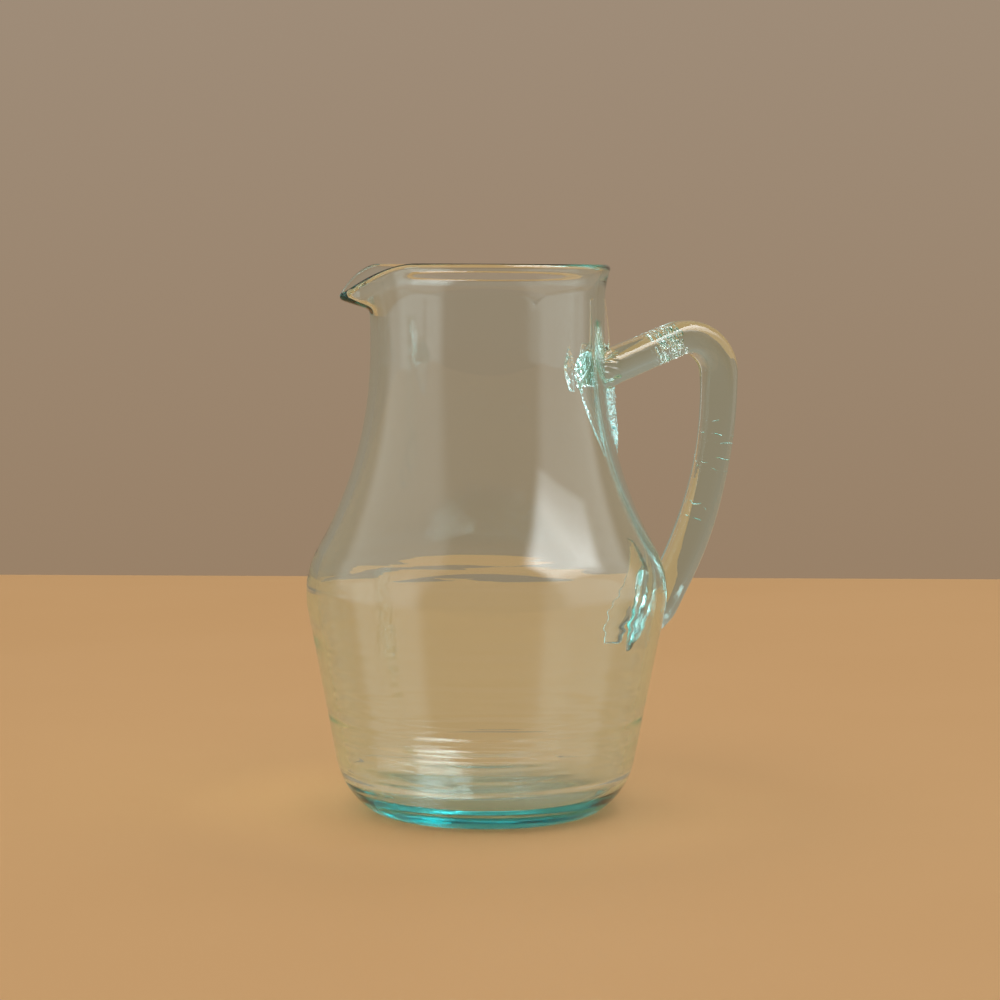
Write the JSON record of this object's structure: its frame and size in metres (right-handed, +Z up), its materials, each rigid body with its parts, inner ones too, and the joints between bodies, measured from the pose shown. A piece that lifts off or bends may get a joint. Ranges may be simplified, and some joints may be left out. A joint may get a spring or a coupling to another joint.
{
  "type": "large water jug",
  "caption": "Clear hand-blown glass pouring jug with a low rounded hip, pulled spout and looped strap handle stuck on with pressed pads.",
  "frame": {"origin": "centre of the flat foot, on the table", "axes": "+Z up along the vessel's axis; the spout points to -X and the handle stands out to +X"},
  "size_m": [0.1807, 0.1452, 0.22],
  "materials": {
    "vessel_glass": "clear soda glass with a faint aqua tint, fire polished, fine rings left by blowing",
    "handle_glass": "thick aqua-tinted glass, fire polished, with small seeds"
  },
  "bodies": {
    "root": {"vessel": "vessel_glass", "handle": "handle_glass", "upper_seal": "handle_glass", "lower_seal": "handle_glass"}
  },
  "joints": []
}
